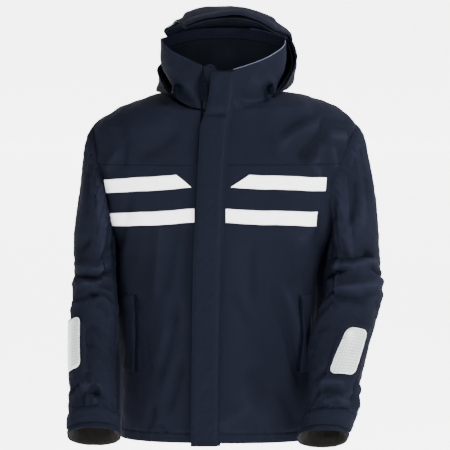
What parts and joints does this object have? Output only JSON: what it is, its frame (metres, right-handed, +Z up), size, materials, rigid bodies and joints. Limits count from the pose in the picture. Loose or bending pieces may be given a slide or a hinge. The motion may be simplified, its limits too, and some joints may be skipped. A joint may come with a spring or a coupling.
{
  "type": "foul weather jacket",
  "caption": "Hooded foul weather jacket with a storm flap over its front zip, reflective chest tapes, bending sleeves and cuff tabs, hung by its neck loop.",
  "frame": {"origin": "at the hook in the hanger loop, inside the back neck seam", "axes": "+Z up along the hanging jacket, -Y out of its front, +X towards the left sleeve of the wearer"},
  "size_m": [0.6725, 0.3995, 0.9278],
  "materials": {
    "shell": "plain-weave coated nylon with a soft sheen",
    "lining": "matt woven lining",
    "reflective": "glass-bead reflective tape, satin",
    "prismatic": "prismatic reflective film with a fine grid",
    "zip_plastic": "moulded acetal, satin",
    "cord_lock": "moulded, satin",
    "webbing": "woven tape"
  },
  "bodies": {
    "root": {"back_panel": "shell", "body_lining": "lining", "chest_stripe_lower_left": "reflective", "chest_stripe_lower_right": "reflective", "chest_stripe_upper_left": "reflective", "chest_stripe_upper_right": "reflective", "chin_guard": "lining", "collar_lining": "lining", "collar_shell": "shell", "cord_lock_barrel_left": "cord_lock", "cord_lock_barrel_right": "cord_lock", "flap_loop_tape": "webbing", "front_panel_left": "shell", "front_panel_right": "shell", "front_yoke_left": "shell", "front_yoke_right": "shell", "hanger_loop": "webbing", "hood_base": "shell", "pocket_bag_left": "lining", "pocket_bag_right": "lining", "pocket_welt_left": "shell", "pocket_welt_right": "shell", "pocket_zip_left": "zip_plastic", "pocket_zip_right": "zip_plastic", "upper_sleeve_left": "shell", "upper_sleeve_right": "shell", "zip_box": "zip_plastic", "zip_chain_left": "zip_plastic", "zip_chain_right": "zip_plastic", "zip_tape_left": "webbing", "zip_tape_right": "webbing"},
    "storm_flap": {"storm_flap": "shell", "flap_hook_tape": "webbing"},
    "zip_slider": {"zip_slider": "zip_plastic"},
    "zip_puller": {"zip_puller": "zip_plastic"},
    "hood": {"hood_crown": "shell", "hood_brim": "shell"},
    "forearm_left": {"forearm_sleeve_left": "shell", "cuff_lining_left": "lining", "forearm_patch_left": "prismatic", "cuff_loop_patch_left": "webbing"},
    "cuff_tab_left": {"cuff_tab_left": "shell"},
    "pocket_slider_left": {"pocket_slider_left": "zip_plastic"},
    "pocket_puller_left": {"pocket_puller_left": "zip_plastic"},
    "cord_lock_plunger_left": {"cord_lock_plunger_left": "cord_lock"},
    "forearm_right": {"forearm_sleeve_right": "shell", "cuff_lining_right": "lining", "forearm_patch_right": "prismatic", "cuff_loop_patch_right": "webbing"},
    "cuff_tab_right": {"cuff_tab_right": "shell"},
    "pocket_slider_right": {"pocket_slider_right": "zip_plastic"},
    "pocket_puller_right": {"pocket_puller_right": "zip_plastic"},
    "cord_lock_plunger_right": {"cord_lock_plunger_right": "cord_lock"}
  },
  "joints": [
    {"name": "storm_flap_open", "type": "hinge", "parent": "root", "child": "storm_flap", "pos_m": [0.022, -0.18048, 0.063], "axis": [0.0376, 0.0379, 0.9986], "range_deg": [0, 75]},
    {"name": "zip_slide", "type": "slide", "parent": "root", "child": "zip_slider", "axis": [0, -0.038, -0.9993], "range_m": [0, 0.73]},
    {"name": "zip_puller_tip", "type": "hinge", "parent": "zip_slider", "child": "zip_puller", "pos_m": [-0.045, -0.18561, 0.049], "axis": [-1, 0, 0], "range_deg": [0, 95]},
    {"name": "hood_fold", "type": "hinge", "parent": "root", "child": "hood", "pos_m": [0.002, -0.095, 0.02], "axis": [-1, 0, 0], "range_deg": [0, 35]},
    {"name": "elbow_left", "type": "hinge", "parent": "root", "child": "forearm_left", "pos_m": [0.274, -0.19048, -0.37775], "axis": [-1, 0, 0], "range_deg": [0, 60]},
    {"name": "cuff_tab_left_open", "type": "hinge", "parent": "forearm_left", "child": "cuff_tab_left", "pos_m": [0.17299, -0.31979, -0.6699], "axis": [-0.2216, -0.4224, -0.8789], "range_deg": [0, 75]},
    {"name": "pocket_zip_left_slide", "type": "slide", "parent": "root", "child": "pocket_slider_left", "axis": [0, -0.0519, -0.9987], "range_m": [0, 0.125]},
    {"name": "pocket_puller_left_tip", "type": "hinge", "parent": "pocket_slider_left", "child": "pocket_puller_left", "pos_m": [0.16378, -0.17057, -0.42677], "axis": [-0.8442, -0.5353, 0.0278], "range_deg": [0, 95]},
    {"name": "cord_lock_left_press", "type": "slide", "parent": "root", "child": "cord_lock_plunger_left", "axis": [0, 0, -1], "range_m": [0, 0.004], "stiffness_N_per_m": 300},
    {"name": "elbow_right", "type": "hinge", "parent": "root", "child": "forearm_right", "pos_m": [-0.278, -0.17321, -0.38015], "axis": [-1, 0, 0], "range_deg": [0, 60]},
    {"name": "cuff_tab_right_open", "type": "hinge", "parent": "forearm_right", "child": "cuff_tab_right", "pos_m": [-0.23605, -0.28601, -0.6699], "axis": [-0.0787, 0.4158, 0.906], "range_deg": [0, 75]},
    {"name": "pocket_zip_right_slide", "type": "slide", "parent": "root", "child": "pocket_slider_right", "axis": [0, -0.0271, -0.9996], "range_m": [0, 0.125]},
    {"name": "pocket_puller_right_tip", "type": "hinge", "parent": "pocket_slider_right", "child": "pocket_puller_right", "pos_m": [-0.18385, -0.16669, -0.42689], "axis": [-0.8358, 0.5489, -0.0149], "range_deg": [0, 95]},
    {"name": "cord_lock_right_press", "type": "slide", "parent": "root", "child": "cord_lock_plunger_right", "axis": [0, 0, -1], "range_m": [0, 0.004], "stiffness_N_per_m": 300}
  ]
}
